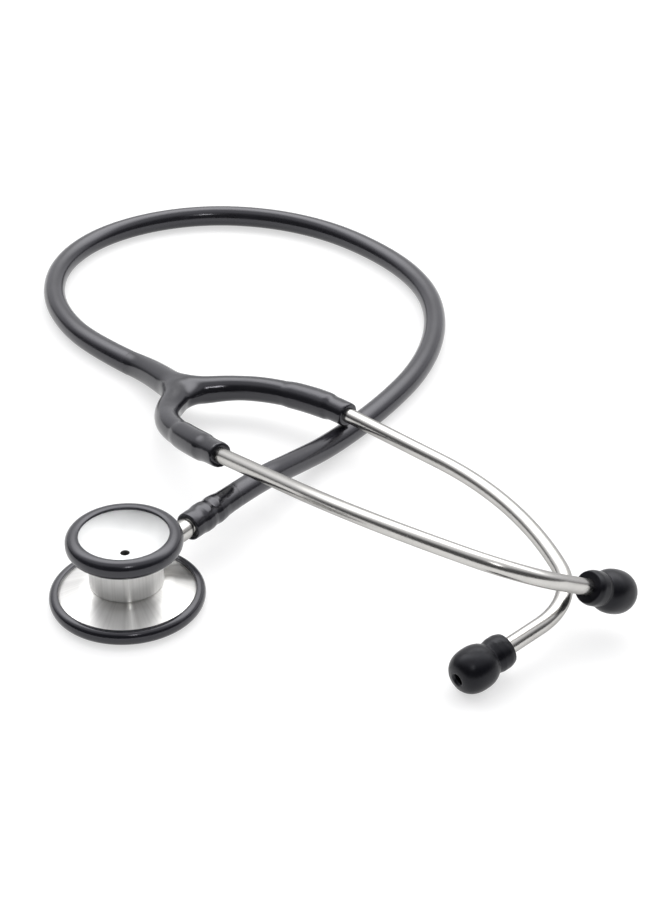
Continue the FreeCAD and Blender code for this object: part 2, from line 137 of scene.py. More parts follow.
def buildHandMarks():
    # Faint finger marks and wiping streaks: a soft mask, and the roughness that goes with it
    group, given, result = newGroup(
        "handMarks",
        [("Vector", "NodeSocketVector", None), ("Scale", "NodeSocketFloat", 60),
         ("Clean", "NodeSocketFloat", 0.2), ("Marked", "NodeSocketFloat", 0.3)],
        [("Mask", "NodeSocketFloat"), ("Roughness", "NodeSocketFloat")])
    cloud = addNode(group, "ShaderNodeTexNoise", (-600, 0))
    cloud.inputs["Detail"].default_value = 6
    cloud.inputs["Roughness"].default_value = 0.6
    cloud.inputs["Distortion"].default_value = 0.4
    mask = addNode(group, "ShaderNodeMapRange", (-300, 100))
    mask.inputs["From Min"].default_value = 0.4
    mask.inputs["From Max"].default_value = 0.68
    level = addNode(group, "ShaderNodeMapRange", (0, -100))
    link = group.links.new
    link(given.outputs["Vector"], cloud.inputs["Vector"])
    link(given.outputs["Scale"], cloud.inputs["Scale"])
    link(cloud.outputs["Fac"], mask.inputs["Value"])
    link(mask.outputs["Result"], level.inputs["Value"])
    link(given.outputs["Clean"], level.inputs["To Min"])
    link(given.outputs["Marked"], level.inputs["To Max"])
    link(mask.outputs["Result"], result.inputs["Mask"])
    link(level.outputs["Result"], result.inputs["Roughness"])
    return group


def buildTurnedLines():
    # Tool lines left by the lathe. They run round the Z axis of the vector that is given
    group, given, result = newGroup(
        "turnedLines",
        [("Vector", "NodeSocketVector", None), ("Scale", "NodeSocketFloat", 1500)],
        [("Lines", "NodeSocketFloat")])
    parts = addNode(group, "ShaderNodeSeparateXYZ", (-700, 0))
    flat = addNode(group, "ShaderNodeCombineXYZ", (-500, 100))
    reach = addNode(group, "ShaderNodeVectorMath", (-300, 100), operation="LENGTH")
    section = addNode(group, "ShaderNodeCombineXYZ", (-100, 0))
    lines = addNode(group, "ShaderNodeTexNoise", (100, 0))
    lines.inputs["Detail"].default_value = 4
    lines.inputs["Roughness"].default_value = 0.7
    link = group.links.new
    link(given.outputs["Vector"], parts.inputs["Vector"])
    link(parts.outputs["X"], flat.inputs["X"])
    link(parts.outputs["Y"], flat.inputs["Y"])
    link(flat.outputs["Vector"], reach.inputs[0])
    link(reach.outputs["Value"], section.inputs["X"])
    link(parts.outputs["Z"], section.inputs["Z"])
    link(section.outputs["Vector"], lines.inputs["Vector"])
    link(given.outputs["Scale"], lines.inputs["Scale"])
    link(lines.outputs["Fac"], result.inputs["Lines"])
    return group


def buildMouldedSkin():
    # The fine unevenness of an extruded or moulded soft skin, over slower waves in its wall
    group, given, result = newGroup(
        "mouldedSkin",
        [("Vector", "NodeSocketVector", None), ("Scale", "NodeSocketFloat", 2500),
         ("Waves", "NodeSocketFloat", 0.5)],
        [("Height", "NodeSocketFloat")])
    grain = addNode(group, "ShaderNodeTexNoise", (-600, 150))
    grain.inputs["Detail"].default_value = 2
    waves = addNode(group, "ShaderNodeTexNoise", (-600, -150))
    waves.inputs["Scale"].default_value = 170
    waves.inputs["Detail"].default_value = 1
    wavesLevel = addNode(group, "ShaderNodeMath", (-300, -150), operation="MULTIPLY")
    total = addNode(group, "ShaderNodeMath", (0, 0), operation="ADD")
    link = group.links.new
    link(given.outputs["Vector"], grain.inputs["Vector"])
    link(given.outputs["Vector"], waves.inputs["Vector"])
    link(given.outputs["Scale"], grain.inputs["Scale"])
    link(waves.outputs["Fac"], wavesLevel.inputs[0])
    link(given.outputs["Waves"], wavesLevel.inputs[1])
    link(grain.outputs["Fac"], total.inputs[0])
    link(wavesLevel.outputs["Value"], total.inputs[1])
    link(total.outputs["Value"], result.inputs["Height"])
    return group


def buildPaintedRadialGlints():
    # Painted glints: steel a little brighter and duller by turns, all the way from centre to edge, as
    # light glints off turned steel
    group, given, result = newGroup(
        "paintedRadialGlints",
        [("Vector", "NodeSocketVector", None), ("Scale", "NodeSocketFloat", 12)],
        [("Mask", "NodeSocketFloat")])
    flat = addNode(group, "ShaderNodeVectorMath", (-700, 0), operation="MULTIPLY")
    flat.inputs[1].default_value = (1, 1, 0)
    unit = addNode(group, "ShaderNodeVectorMath", (-500, 0), operation="NORMALIZE")
    streaks = addNode(group, "ShaderNodeTexNoise", (-300, 0))
    streaks.inputs["Detail"].default_value = 5
    streaks.inputs["Roughness"].default_value = 0.65
    spread = addNode(group, "ShaderNodeMapRange", (0, 0))
    spread.inputs["From Min"].default_value = 0.34
    spread.inputs["From Max"].default_value = 0.66
    link = group.links.new
    link(given.outputs["Vector"], flat.inputs[0])
    link(flat.outputs["Vector"], unit.inputs[0])
    link(unit.outputs["Vector"], streaks.inputs["Vector"])
    link(given.outputs["Scale"], streaks.inputs["Scale"])
    link(streaks.outputs["Fac"], spread.inputs["Value"])
    link(spread.outputs["Result"], result.inputs["Mask"])
    return group


handMarks = buildHandMarks()
paintedRadialGlints = buildPaintedRadialGlints()
turnedLines = buildTurnedLines()
mouldedSkin = buildMouldedSkin()


# Finishes
def newFinish(name, **values):
    material = bpy.data.materials.new(name)
    material.use_nodes = True
    tree = material.node_tree
    tree.nodes.clear()
    output = addNode(tree, "ShaderNodeOutputMaterial", (600, 0))
    shader = addNode(tree, "ShaderNodeBsdfPrincipled", (250, 0))
    for label, value in values.items():
        shader.inputs[label.replace("_", " ")].default_value = value
    tree.links.new(shader.outputs["BSDF"], output.inputs["Surface"])
    place = addNode(tree, "ShaderNodeTexCoord", (-1100, 0))
    return material, tree, shader, place.outputs["Object"]


def useGroup(tree, group, place, source, **values):
    node = addNode(tree, "ShaderNodeGroup", place, node_tree=group)
    for label, value in values.items():
        node.inputs[label].default_value = value
    tree.links.new(source, node.inputs["Vector"])
    return node


def twoTone(tree, shader, mask, clean, marked):
    mix = addNode(tree, "ShaderNodeMix", (-100, 300), data_type="RGBA")
    mix.inputs["A"].default_value = (*clean, 1)
    mix.inputs["B"].default_value = (*marked, 1)
    tree.links.new(mask, mix.inputs["Factor"])
    tree.links.new(mix.outputs["Result"], shader.inputs["Base Color"])


def raiseBump(tree, shader, height, strength, distance):
    bump = addNode(tree, "ShaderNodeBump", (0, -300))
    bump.inputs["Strength"].default_value = strength
    bump.inputs["Distance"].default_value = distance
    tree.links.new(height, bump.inputs["Height"])
    tree.links.new(bump.outputs["Normal"], shader.inputs["Normal"])


def addMarks(tree, shader, spot, look, coloured=True):
    # Hand marks decide the roughness and, unless something else does, the colour
    marks = useGroup(tree, handMarks, (-700, 200), spot, Scale=look["marks"],
                     Clean=look["gloss"][0], Marked=look["gloss"][1])
    if coloured:
        twoTone(tree, shader, marks.outputs["Mask"], look["clean"], look["marked"])
    tree.links.new(marks.outputs["Roughness"], shader.inputs["Roughness"])


def addSkin(tree, shader, spot, look):
    skin = useGroup(tree, mouldedSkin, (-700, -200), spot, Scale=look["skin"], Waves=look["waves"])
    raiseBump(tree, shader, skin.outputs["Height"], *look["bump"])


softGreySkin = {"tint": (0.94, 0.935, 1.0, 1), "marks": 70, "skin": 2600, "waves": 0.9,
                "bump": (0.06, 0.0002)}
softGrey = {
    "hose": {**softGreySkin, "clean": (0.0165, 0.016, 0.020), "marked": (0.023, 0.0225, 0.0275),
             "gloss": (0.17, 0.23), "IOR": 1.62},
    "rims": {**softGreySkin, "clean": (0.011, 0.011, 0.015), "marked": (0.016, 0.016, 0.021),
             "gloss": (0.17, 0.23), "IOR": 1.6},
    "yoke": {**softGreySkin, "clean": (0.010, 0.010, 0.013), "marked": (0.014, 0.014, 0.0175),
             "gloss": (0.14, 0.20), "IOR": 1.6},
}


def buildSoft(name, look):
    # Vinyl or silicone: satin where it was extruded or turned, glossier out of a mould
    material, tree, shader, spot = newFinish(name, Metallic=0, IOR=look["IOR"],
                                             Specular_Tint=look["tint"])
    addMarks(tree, shader, spot, look)
    addSkin(tree, shader, spot, look)
    return material


softBlack = {"clean": (0.003, 0.003, 0.005), "marked": (0.006, 0.006, 0.008), "gloss": (0.31, 0.39),
             "IOR": 1.36, "tint": (0.92, 0.93, 1.0, 1), "marks": 160, "skin": 3200, "waves": 0.4,
             "bump": (0.05, 0.0002)}


# Here clean and marked are the lighter and darker colours of the painted glints that streak the steel
# from centre to edge
turnedSteel = {"clean": (0.80, 0.795, 0.78), "marked": (0.66, 0.655, 0.64), "gloss": (0.28, 0.31),
               "spread": 0.96, "marks": 90, "lines": 1700, "paintedGlints": 11, "bump": (0.025, 0.0001)}


def addLines(tree, shader, spot, look):
    lines = useGroup(tree, turnedLines, (-700, -100), spot, Scale=look["lines"])
    raiseBump(tree, shader, lines.outputs["Lines"], *look["bump"])


def buildTurnedSteel():
    # The lathe's lines run round Z, so the shine spreads across them
    look = turnedSteel
    material, tree, shader, spot = newFinish("turnedSteel", Metallic=1, Anisotropic=look["spread"],
                                             Anisotropic_Rotation=0.25)
    addMarks(tree, shader, spot, look, coloured=False)
    # The steel's colour streaks lighter and darker from centre to edge: painted glints
    paintedGlints = useGroup(tree, paintedRadialGlints, (-700, 450), spot, Scale=look["paintedGlints"])
    twoTone(tree, shader, paintedGlints.outputs["Mask"], look["clean"], look["marked"])
    addLines(tree, shader, spot, look)
    around = addNode(tree, "ShaderNodeVectorMath", (-700, -500), operation="CROSS_PRODUCT")
    around.inputs[0].default_value = (0, 0, 1)
    tree.links.new(spot, around.inputs[1])
    turn = addNode(tree, "ShaderNodeVectorTransform", (-450, -500), vector_type="VECTOR",
                   convert_from="OBJECT", convert_to="WORLD")
    tree.links.new(around.outputs["Vector"], turn.inputs["Vector"])
    tree.links.new(turn.outputs["Vector"], shader.inputs["Tangent"])
    return material


cupLook = {"clean": (0.85, 0.855, 0.85), "marked": (0.82, 0.825, 0.82), "gloss": (0.60, 0.66),
           "metallic": 0.7, "marks": 120, "lines": 1700, "bump": (0.02, 0.0001)}


def buildCupSteel():
    # The cup was polished out of the lathe's lines, so its shine spreads evenly
    material, tree, shader, spot = newFinish("cupSteel", Metallic=cupLook["metallic"])
    addMarks(tree, shader, spot, cupLook)
    addLines(tree, shader, spot, cupLook)
    return material


# The dark colour here is painted shade for the inside of the sound hole
holeShadeLook = {"clean": (0.30, 0.29, 0.28), "marked": (0.20, 0.19, 0.18), "gloss": (0.5, 0.7),
               "marks": 900}


def buildHoleShadeSteel():
    # Inside the sound hole the wall is dull, as the drill left it, and its dark colour is painted shade,
    # as little light gets down the hole
    material, tree, shader, spot = newFinish("holeShadeSteel", Metallic=1)
    addMarks(tree, shader, spot, holeShadeLook)
    return material


brightSteel = {"clean": (0.58, 0.57, 0.55), "marked": (0.54, 0.53, 0.51), "gloss": (0.23, 0.28),
               "tint": (0.45, 0.45, 0.45, 1), "marks": 120, "skin": 1400, "waves": 0.8,
               "bump": (0.03, 0.0001)}


def buildBrightSteel():
    # Drawn and polished steel
    look = brightSteel
    material, tree, shader, spot = newFinish("brightSteel", Metallic=1, Specular_Tint=look["tint"])
    addMarks(tree, shader, spot, look)
    addSkin(tree, shader, spot, look)
    return material


springSteel = {"clean": (0.50, 0.50, 0.51), "marked": (0.38, 0.37, 0.36), "gloss": (0.28, 0.42),
               "marks": 300, "skin": 4000, "waves": 0.2, "bump": (0.1, 0.0001)}


def buildSpringSteel():
    # Rolled and hardened steel, left as it was
    material, tree, shader, spot = newFinish("springSteel", Metallic=1)
    addMarks(tree, shader, spot, springSteel)
    addSkin(tree, shader, spot, springSteel)
    return material


membrane = {"clean": (0.62, 0.63, 0.60), "marked": (0.56, 0.57, 0.55), "gloss": (0.28, 0.40),
            "IOR": 1.52, "marks": 110, "threads": 520, "bump": (0.15, 0.0001)}


def buildMembrane():
    # Glass-fibre and resin sheet: two sets of fine threads just under a satin face
    material, tree, shader, spot = newFinish("membrane", Metallic=0, IOR=membrane["IOR"])
    addMarks(tree, shader, spot, membrane)
    warp = addNode(tree, "ShaderNodeTexWave", (-700, -200), bands_direction="X")
    weft = addNode(tree, "ShaderNodeTexWave", (-700, -500), bands_direction="Y")
    threads = addNode(tree, "ShaderNodeMath", (-400, -300), operation="MAXIMUM")
    for number, wave in enumerate((warp, weft)):
        wave.inputs["Scale"].default_value = membrane["threads"]
        tree.links.new(spot, wave.inputs["Vector"])
        tree.links.new(wave.outputs["Fac"], threads.inputs[number])
    raiseBump(tree, shader, threads.outputs["Value"], *membrane["bump"])
    return material


finishes = {
    "soft_grey": buildSoft("hoseVinyl", softGrey["hose"]),
    "soft_black": buildSoft("softBlack", softBlack),
    "steel": buildTurnedSteel(),
    "bright_steel": buildBrightSteel(),
    "spring_steel": buildSpringSteel(),
    "membrane": buildMembrane(),
}
holeShadeSteel = buildHoleShadeSteel()
cupSteel = buildCupSteel()
rimVinyl = buildSoft("rimVinyl", softGrey["rims"])
yokeVinyl = buildSoft("yokeVinyl", softGrey["yoke"])
print("finishes made")


# Making pieces
def newBody(mesh, name, slot, body, replaced, finish=None):
    piece = bpy.data.objects.new(name, mesh)
    mesh.materials.clear()
    mesh.materials.append(finish or finishes[slot])
    scene.collection.objects.link(piece)
    if body:
        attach(piece, body)
    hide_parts(*replaced)
    return piece


def meshFrom(bm, name):
    mesh = bpy.data.meshes.new(name)
    bm.to_mesh(mesh)
    bm.free()
    mesh.shade_smooth()
    mesh.set_sharp_from_angle(angle=math.radians(sharpAngle["turned"]))
    return mesh


def finishedMesh(piece):
    # A copy of the mesh that the piece's modifiers give
    ready = piece.evaluated_get(bpy.context.evaluated_depsgraph_get())
    return bpy.data.meshes.new_from_object(ready)


def drawOutline(bm, corners):
    # A closed outline. corners are (distance from the axis, height, corner's radius), in mm
    points = [Vector((corner[0], 0, corner[1])) * mm for corner in corners]
    dots = [bm.verts.new(point) for point in points]
    for first, second in zip(dots, dots[1:]):
        bm.edges.new((first, second))
    bm.edges.new((dots[-1], dots[0]))
    for number, corner in enumerate(corners):
        if len(corner) > 2:
            back = points[number - 1] - points[number]
            ahead = points[(number + 1) % len(points)] - points[number]
            reach = corner[2] * mm / math.tan(back.angle(ahead) / 2)
            bmesh.ops.bevel(bm, geom=[dots[number]], affect="VERTICES", offset=reach,
                            segments=max(4, round(1.5 * corner[2]) + 4), profile=0.5, material=-1)


def turnOutline(bm, stepCount):
    bmesh.ops.spin(bm, geom=bm.verts[:] + bm.edges[:], cent=(0, 0, 0), axis=(0, 0, 1),
                   angle=math.tau, steps=stepCount, use_merge=True)
    bmesh.ops.remove_doubles(bm, verts=bm.verts[:], dist=mergeReach)
    bmesh.ops.dissolve_degenerate(bm, edges=bm.edges[:], dist=mergeReach)
    bmesh.ops.recalc_face_normals(bm, faces=bm.faces[:])


def turnedMesh(name, corners, stepCount, place=Matrix()):
    bm = bmesh.new()
    drawOutline(bm, corners)
    turnOutline(bm, stepCount)
    bmesh.ops.transform(bm, matrix=place, verts=bm.verts[:])
    return meshFrom(bm, name)


def drillHoles(mesh, name, drills):
    # drills are (start, end, radius), in mm
    piece = bpy.data.objects.new(name, mesh)
    scene.collection.objects.link(piece)
    cutters = []
    for start, end, radius in drills:
        start, end = Vector(start) * mm, Vector(end) * mm
        bm = bmesh.new()
        turn = (end - start).to_track_quat("Z", "Y").to_matrix().to_4x4()
        bmesh.ops.create_cone(bm, cap_ends=True, segments=steps["drill"], radius1=radius * mm,
                              radius2=radius * mm, depth=(end - start).length,
                              matrix=Matrix.Translation((start + end) / 2) @ turn)
        cutter = bpy.data.objects.new("drill", meshFrom(bm, "drill"))
        scene.collection.objects.link(cutter)
        cut = piece.modifiers.new("drill", "BOOLEAN")
        cut.operation = "DIFFERENCE"
        cut.solver = "EXACT"
        cut.object = cutter
        cutters.append(cutter)
    drilled = finishedMesh(piece)
    for gone in [piece] + cutters:
        bpy.data.objects.remove(gone)
    drilled.shade_smooth()
    drilled.set_sharp_from_angle(angle=math.radians(sharpAngle["drilled"]))
    return drilled


# Chestpiece: one turning with a shallow dish, a hub and a bell cup
chestpiece = {
    "dishEdge": 22.0, "dishEdgeBottom": 1.0, "dishEdgeTop": 3.5, "dishTop": 7.3,
    "hub": 11.2, "hubFoot": 10.1, "flareStart": 17.4,
    "lip": 16.4, "lipBottom": 21.4, "lipTop": 24.0, "mouth": 13.6, "cupDepth": 6.4,
    "soundHole": 1.4, "cavity": 19.6, "cavityDepth": 2.2, "stemHeight": 12.0,
    "stemHole": 3.25, "stemHoleEnds": (-5.3, 14), "screwHole": 1.6, "screwAcross": 6.2,
    "screwHoleEnds": (4.0, 11.5), "cupSteps": 16, "holeAbove": 13, "cupAbove": 17,
}


def buildChestpiece():
    c = chestpiece
    sphere = (c["mouth"] ** 2 + c["cupDepth"] ** 2) / (2 * c["cupDepth"])
    floor = c["lipTop"] - c["cupDepth"]
    cup = []
    for step in range(c["cupSteps"] + 1):
        reach = c["mouth"] + (c["soundHole"] + 0.12 - c["mouth"]) * step / c["cupSteps"]
        cup.append((reach, floor + sphere - math.sqrt(sphere ** 2 - reach ** 2)))
    corners = [
        (c["soundHole"], c["dishEdgeBottom"] + c["cavityDepth"]),
        (c["cavity"], c["dishEdgeBottom"] + 0.3),
        (c["cavity"], c["dishEdgeBottom"]),
        (c["dishEdge"], c["dishEdgeBottom"], 0.3),
        (c["dishEdge"], c["dishEdgeTop"], 0.5),
        (20.6, 3.85, 0.6),
        (c["hub"] + 2, c["dishTop"] - 0.5, 12),
        (c["hubFoot"], c["dishTop"] - 0.1, 0.1),
        (c["hub"], c["dishTop"] + 0.15, 0.9),
        (c["hub"], c["flareStart"], 2.5),
        (c["lip"], c["lipBottom"], 0.4),
        (c["lip"], c["lipTop"], 0.4),
        (c["mouth"] + 0.25, c["lipTop"], 0.2),
    ] + cup + [(c["soundHole"], floor - 0.1)]
    mesh = turnedMesh("chestpieceBody", corners, steps["wide"])
    height, across = c["stemHeight"], c["screwAcross"]
    stemHole = [(end, 0, height) for end in c["stemHoleEnds"]]
    screwHole = [(across, end, height) for end in c["screwHoleEnds"]]
    return drillHoles(mesh, "chestpieceBody", [
        (*stemHole, c["stemHole"]), (*screwHole, c["screwHole"]),
    ])


chestpieceBody = newBody(buildChestpiece(), "chestpieceBody", "steel", "chestpiece", ["chestpiece_body"])
chestpieceBody.data.materials.append(holeShadeSteel)
chestpieceBody.data.materials.append(cupSteel)
holeShadeSlot, cupSlot = 1, 2
# Faces down the sound hole take the darker steel, which paints the hole's shade; the cup's faces take
# the cup's finish
for face in chestpieceBody.data.polygons:
    reach, height = math.hypot(face.center.x, face.center.y), face.center.z
    if height > chestpiece["holeAbove"] * mm and reach < (chestpiece["soundHole"] + 0.02) * mm:
        face.material_index = holeShadeSlot
    elif (height > chestpiece["cupAbove"] * mm and face.normal.z > 0
          and reach < chestpiece["mouth"] * mm):
        face.material_index = cupSlot

bellRim = {"outline": [
    (13.4, 24.0), (13.4, 24.6, 0.4), (14.4, 24.89, 0.9), (17.45, 24.75, 2.6), (17.45, 19.4, 2.5),
    (15.0, 19.05, 0.5), (15.0, 20.32), (16.4, 21.4), (16.4, 24.0),
]}
bellRimMesh = turnedMesh("bellRim", bellRim["outline"], steps["wide"])
newBody(bellRimMesh, "bellRim", "soft_grey", "chestpiece", ["bell_rim"], rimVinyl)

diaphragmRim = {"outline": [
    (20.25, 0.15, 0.15), (23.4, 0.15, 2.4), (23.4, 5.2, 2.0), (20.6, 4.75, 0.4),
    (20.6, 3.85), (22.0, 3.5), (22.0, 1.0), (21.2, 1.0), (21.2, 0.6), (20.25, 0.6),
]}
diaphragmRimMesh = turnedMesh("diaphragmRim", diaphragmRim["outline"], steps["wide"])
newBody(diaphragmRimMesh, "diaphragmRim", "soft_grey", "chestpiece", ["diaphragm_rim"], rimVinyl)
print("chestpiece turned")


# Valve stem and the hose's stretched end, both turned about the stem's line
alongStem = (Matrix.Translation((0, 0, chestpiece["stemHeight"] * mm))
             @ Matrix.Rotation(math.radians(90), 4, "Y"))
valveStem = {
    "inHub": [(0, -5.0), (3.2, -5.0, 0.4), (3.2, 5.2), (2.75, 5.6), (2.75, 6.8), (3.2, 7.2), (3.2, 8.6),
              (2.5, 8.7), (2.5, 9.7), (3.2, 9.8), (3.2, 27.2, 0.15), (2.6, 27.5)],
    "barbs": (27.5, 33.17, 38.83), "barbCore": 2.5, "barb": 3.05,
    "bore": [(2.5, 44.5), (1.5, 44.5), (1.5, -2.4), (0, -2.4)],
    "port": ((0, 0, 12), (0, 0, 17), 1.4),
}
stemCorners = list(valveStem["inHub"])
for foot in valveStem["barbs"]:
    barb = valveStem["barb"]
    stemCorners += [(valveStem["barbCore"], foot), (barb, foot + 0.6), (barb, foot + 1.2)]
stemCorners += valveStem["bore"]
stemMesh = turnedMesh("valveStem", stemCorners, steps["narrow"], alongStem)
stemMesh = drillHoles(stemMesh, "valveStem", [valveStem["port"]])
newBody(stemMesh, "valveStem", "bright_steel", "tubing", ["valve_stem"])

stemCuff = {"outline": [
    (3.12, 27.5, 0.3), (4.5, 27.5, 0.5), (4.55, 30.0, 6), (4.5, 31.8, 5), (4.78, 33.6, 3),
    (4.75, 35.6, 3), (4.4, 37.4, 3), (4.65, 39.6, 3), (4.5, 41.4, 4), (4.15, 43.6, 8),
    (4.03, 46.5, 10), (4.02, 49.4, 0.2), (3.6, 49.4), (3.12, 45.0),
]}
cuffMesh = turnedMesh("stemCuff", stemCuff["outline"], steps["narrow"], alongStem)
newBody(cuffMesh, "stemCuff", "soft_grey", "tubing", ["stem_cuff"], yokeVinyl)
print("stem and cuff turned")


# Ear tubes: straight, a long sweep, a tight bend and a straight end, all in one plane
earTube = {
    "radius": 2.5, "bore": 1.8, "boreDepth": 4, "inArm": 15.0, "straight": 41.4,
    "sweepRadius": 131.3, "sweepAngle": 29.1, "sweepSteps": 36,
    "bendRadius": 24.5, "bendAngle": 66.6, "bendSteps": 40, "end": 13.0, "inTip": 11.0, "segments": 48,
}
headset = {
    "left": {"socket": (109.4, 0.7, 12.95), "heading": -97.7, "rise": 0.9, "roll": 7.1986, "turn": -1,
             "elbow": (107.2, 42.5, 10.4), "run": 14.0},
    "right": {"socket": (54.6, 9.5, 20.9), "heading": -105.6, "rise": 11.9, "roll": -29.4, "turn": 1,
              "elbow": (71.0, 50.0, 11.6), "run": 20.0},
}


def earPlane(side):
    s = headset[side]
    return (Matrix.Translation(Vector(s["socket"]) * mm)
            @ Matrix.Rotation(math.radians(s["heading"]), 4, "Z")
            @ Matrix.Rotation(math.radians(-s["rise"]), 4, "Y")
            @ Matrix.Rotation(math.radians(s["roll"]), 4, "X"))


def tubeEnd(side):
    # Where the tight bend ends, in the tube's own plane, and which way the tube points there
    t, turn = earTube, headset[side]["turn"]
    sweep = math.radians(t["sweepAngle"])
    full = sweep + math.radians(t["bendAngle"])
    x = (t["straight"] + t["sweepRadius"] * math.sin(sweep)
         + t["bendRadius"] * (math.sin(full) - math.sin(sweep)))
    y = (t["sweepRadius"] * (1 - math.cos(sweep))
         + t["bendRadius"] * (math.cos(sweep) - math.cos(full)))
    return Vector((x, turn * y, 0)) * mm, Vector((math.cos(full), turn * math.sin(full), 0))


def buildEarTube(side):
    t, turn = earTube, headset[side]["turn"]
    sweep, tight = math.radians(t["sweepAngle"]), math.radians(t["bendAngle"])
    bm = bmesh.new()
    mouth = Matrix.Translation((-t["inArm"] * mm, 0, 0)) @ Matrix.Rotation(math.radians(90), 4, "Y")
    bmesh.ops.create_circle(bm, segments=t["segments"], radius=t["radius"] * mm, matrix=mouth)
    rim = bm.edges[:]
    firstRim = rim

    def pushOn(rim, way):
        grown = bmesh.ops.extrude_edge_only(bm, edges=rim)["geom"]
        dots = [part for part in grown if isinstance(part, bmesh.types.BMVert)]
        bmesh.ops.translate(bm, vec=way, verts=dots)
        return [part for part in grown if isinstance(part, bmesh.types.BMEdge)]

    def bendOn(rim, centre, angle, stepCount):
        dots = list({dot for edge in rim for dot in edge.verts})
        turned = bmesh.ops.spin(bm, geom=dots + rim, cent=centre, axis=(0, 0, 1), angle=angle,
                                steps=stepCount)
        return [part for part in turned["geom_last"] if isinstance(part, bmesh.types.BMEdge)]

    rim = pushOn(rim, ((t["inArm"] + t["straight"]) * mm, 0, 0))
    centre = Vector((t["straight"], turn * t["sweepRadius"], 0)) * mm
    rim = bendOn(rim, centre, turn * sweep, t["sweepSteps"])
    inward = Vector((-math.sin(sweep), turn * math.cos(sweep), 0))
    corner = centre - inward * t["sweepRadius"] * mm
    centre = corner + inward * t["bendRadius"] * mm
    rim = bendOn(rim, centre, turn * tight, t["bendSteps"])
    rim = pushOn(rim, tubeEnd(side)[1] * (t["end"] + t["inTip"]) * mm)
    bmesh.ops.holes_fill(bm, edges=firstRim + rim)
    bmesh.ops.recalc_face_normals(bm, faces=bm.faces[:])
    caps = [face for face in bm.faces if len(face.verts) > 4]
    bmesh.ops.inset_individual(bm, faces=caps, thickness=(t["radius"] - t["bore"]) * mm)
    for cap in caps:
        sunk = bmesh.ops.extrude_discrete_faces(bm, faces=[cap])["faces"]
        for face in sunk:
            bmesh.ops.translate(bm, vec=-face.normal * t["boreDepth"] * mm, verts=face.verts[:])
    bmesh.ops.transform(bm, matrix=earPlane(side), verts=bm.verts[:])
    return meshFrom(bm, side + "EarTube")


# An ear tip: a short collar, a waist, then a full ball with its end cut flat
earTip = {"ball": 6.62, "ballMiddle": 11.9, "ballReach": 7.2, "fullness": 2.4,
          "ballStart": 6.9, "ballSteps": 16, "endCut": 0.35,
          "length": 18.5, "waist": 4.8, "bore": 1.5, "seat": 2.55, "depth": 11.0}


def tipOutline():
    t = earTip
    corners = [(t["seat"], 0), (4.7, 0, 0.4), (5.25, 1.8, 3), (5.25, 4.2, 2), (t["waist"], 6.2, 0.5)]
    for step in range(t["ballSteps"] + 1):
        reach = t["length"] - t["endCut"] - t["ballStart"]
        height = t["ballStart"] + reach * step / t["ballSteps"]
        thin = (abs(height - t["ballMiddle"]) / t["ballReach"]) ** t["fullness"]
        corners.append((t["ball"] * (1 - thin) ** (1 / t["fullness"]), height))
    corners += [(t["bore"] + 0.5, t["length"], 0.5), (t["bore"], t["length"] - 0.8, 0.5)]
    return corners + [(t["bore"], t["depth"]), (t["seat"], t["depth"])]


for side in ("left", "right"):
    body = side + "_headset"
    newBody(buildEarTube(side), side + "EarTube", "bright_steel", body, [side + "_ear_tube"])
    bendEnd, ahead = tubeEnd(side)
    tipPlace = (earPlane(side) @ Matrix.Translation(bendEnd + ahead * earTube["end"] * mm)
                @ ahead.to_track_quat("Z", "Y").to_matrix().to_4x4())
    tipMesh = turnedMesh(side + "EarTip", tipOutline(), steps["narrow"], tipPlace)
    newBody(tipMesh, side + "EarTip", "soft_black", body, [side + "_ear_tip"])
print("headset bent")


# Yoke: one soft moulding that flares from the hose into two arms, each stretched over an ear tube
yoke = {
    "crotch": (90.7, 58.5, 9.5), "heart": 5.5, "webReach": 13.0, "web": 4.0,
    "grain": 0.4, "easing": 10, "crotchEasing": 50, "crotchReach": 30.0, "narrowing": 0.45,
    "wholeReach": 1000,
    "trunk": [(101.65, 93.6, 4.4), (101.5, 92.0, 4.45), (101.03, 87.0, 4.75), (98.0, 77.0, 6.5),
              (90.7, 58.5, 9.6)],
    # how thick a limb is, by how far from its mouth
    "girth": [(0, 4.2), (8.0, 4.2), (9.0, 4.68), (14, 4.74), (25, 4.66), (27.2, 4.34), (44, 4.4),
              (56, 4.9), (64, 5.4), (78, 5.1), (90, 4.65), (97, 4.43), (120, 4.4)],
    "tubeHole": 2.56, "tubeHoleEnds": (-15.2, 3),
    "stretchStart": 3.9, "stretchEnd": 17.0,
}


def girthAt(back):
    for (near, thin), (far, thick) in zip(yoke["girth"], yoke["girth"][1:]):
        if back <= far:
            return thin + (thick - thin) * (back - near) / (far - near)
    return yoke["girth"][-1][1]


def skinnedLine(name, corners, girth):
    # A smooth line through the corners, with a round skin as thick as girth says at each distance
    # from the line's last corner
    middle = bpy.data.objects.new(name, nurbsLine(name, [corner * mm for corner in corners]))
    scene.collection.objects.link(middle)
    spots = [dot.co.copy() for dot in finishedMesh(middle).vertices]
    if (spots[0] - corners[-1] * mm).length < (spots[-1] - corners[-1] * mm).length:
        spots.reverse()
    back = [0.0]
    for first, second in zip(reversed(spots), reversed(spots[:-1])):
        back.append(back[-1] + (first - second).length / mm)
    back.reverse()
    curve = bpy.data.curves.new(name, "CURVE")
    curve.dimensions = "3D"
    curve.bevel_depth = mm
    curve.bevel_resolution = steps["skin"]
    curve.use_fill_caps = True
    spline = curve.splines.new("POLY")
    spline.points.add(len(spots) - 1)
    for point, spot, distance in zip(spline.points, spots, back):
        point.co = (*spot, 1)
        point.radius = girth(distance)
    skinned = bpy.data.objects.new(name, curve)
    scene.collection.objects.link(skinned)
    mesh = finishedMesh(skinned)
    for gone in (middle, skinned):
        bpy.data.objects.remove(gone)
    print(name, round(back[0], 1), "mm long")
    return mesh


armWay = {side: (Vector(place["elbow"]) - Vector(yoke["crotch"])).normalized()
          for side, place in headset.items()}


